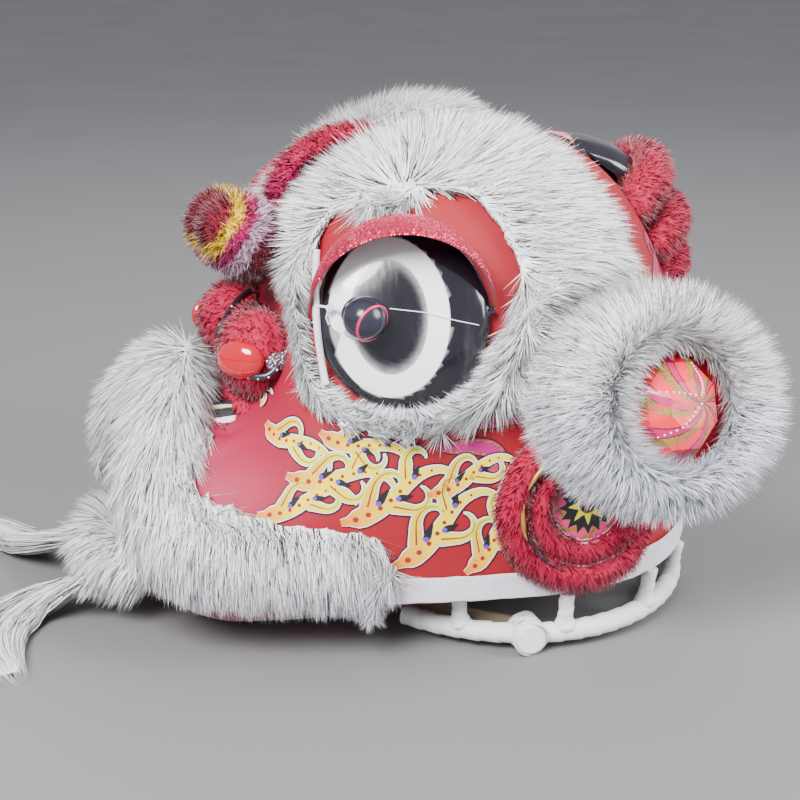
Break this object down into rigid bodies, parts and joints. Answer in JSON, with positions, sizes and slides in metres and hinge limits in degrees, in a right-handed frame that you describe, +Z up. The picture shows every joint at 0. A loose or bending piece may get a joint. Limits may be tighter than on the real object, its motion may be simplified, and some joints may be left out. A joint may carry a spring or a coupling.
{
  "type": "lion dance head",
  "caption": "Southern-style lion dance head: hollow shell worn over a dancer's head, with a hinged jaw, swinging ears, closing eyelids and fur trim.",
  "frame": {"origin": "middle of the bounding box's underside, on the floor that the head rests on", "axes": "+X towards the lion's left, +Y towards the back of the head, +Z up"},
  "size_m": [0.6766, 0.8044, 0.5255],
  "materials": {
    "painted_skin": "painted cloth over paper, satin",
    "black_gloss": "gloss",
    "white_fur": "long soft fur",
    "crimson_fur": "short dense fur",
    "pompom_fur": "fluffy fur in coloured bands",
    "white_tape": "wound cloth tape, matte",
    "white_ribbon": "woven gauze ribbon, matte",
    "crimson_sequin": "cloth sewn with small glossy sequins",
    "beard_hair": "long straight hair",
    "red_gloss": "gloss",
    "spring_steel": "bright wire",
    "bare_wood": "weathered, unfinished",
    "cup_paint": "painted, satin"
  },
  "bodies": {
    "head": {"head_shell": "painted_skin", "rim_ribbon": "white_ribbon", "lower_ring": "white_tape", "lashing_knot_left": "white_tape", "lashing_knot_right": "white_tape", "lip_fur": "white_fur", "nose": "crimson_fur", "nostril_left": "red_gloss", "nostril_right": "red_gloss", "spring_left": "spring_steel", "spring_right": "spring_steel", "spring_foot_left": "spring_steel", "spring_foot_right": "spring_steel", "pompom_left": "pompom_fur", "pompom_right": "pompom_fur", "horn": "painted_skin", "horn_fur": "crimson_fur", "eye_panel_left": "black_gloss", "eye_panel_right": "black_gloss", "eyeball_left": "black_gloss", "eyeball_right": "black_gloss", "brow_fur_left": "white_fur", "brow_fur_right": "white_fur", "cheek_disc_left": "cup_paint", "cheek_disc_right": "cup_paint", "cheek_inner_roll_left": "crimson_fur", "cheek_inner_roll_right": "crimson_fur", "cheek_outer_roll_left": "crimson_fur", "cheek_outer_roll_right": "crimson_fur", "ear_lug_left": "cup_paint", "ear_lug_right": "cup_paint", "crest_spine": "black_gloss", "crest_roll_1": "crimson_fur", "crest_roll_2": "crimson_fur", "crest_roll_3": "crimson_fur"},
    "jaw": {"lower_jaw": "crimson_sequin", "jaw_arm_left": "bare_wood", "jaw_arm_right": "bare_wood", "beard": "beard_hair"},
    "ear_left": {"ear_plate_left": "cup_paint", "ear_cup_left": "cup_paint", "ear_fur_left": "white_fur"},
    "ear_right": {"ear_plate_right": "cup_paint", "ear_cup_right": "cup_paint", "ear_fur_right": "white_fur"},
    "eyelid_left": {"eyelid_left": "crimson_sequin"},
    "eyelid_right": {"eyelid_right": "crimson_sequin"}
  },
  "joints": [
    {"name": "jaw_hinge", "type": "hinge", "parent": "head", "child": "jaw", "pos_m": [0, 0.1523, 0.0185], "axis": [1, 0, 0], "range_deg": [0, 28]},
    {"name": "ear_hinge_left", "type": "hinge", "parent": "head", "child": "ear_left", "pos_m": [0.2097, 0.2512, 0.347], "axis": [0, -1, 0], "range_deg": [0, 18]},
    {"name": "ear_hinge_right", "type": "hinge", "parent": "head", "child": "ear_right", "pos_m": [-0.2097, 0.2512, 0.347], "axis": [0, 1, 0], "range_deg": [0, 18]},
    {"name": "eyelid_hinge_left", "type": "hinge", "parent": "head", "child": "eyelid_left", "pos_m": [0.19546, 0.0315, 0.35115], "axis": [0.2297, 0.9708, 0.0692], "range_deg": [0, 50]},
    {"name": "eyelid_hinge_right", "type": "hinge", "parent": "head", "child": "eyelid_right", "pos_m": [-0.19546, 0.0315, 0.35115], "axis": [0.2297, -0.9708, -0.0692], "range_deg": [0, 50]}
  ]
}
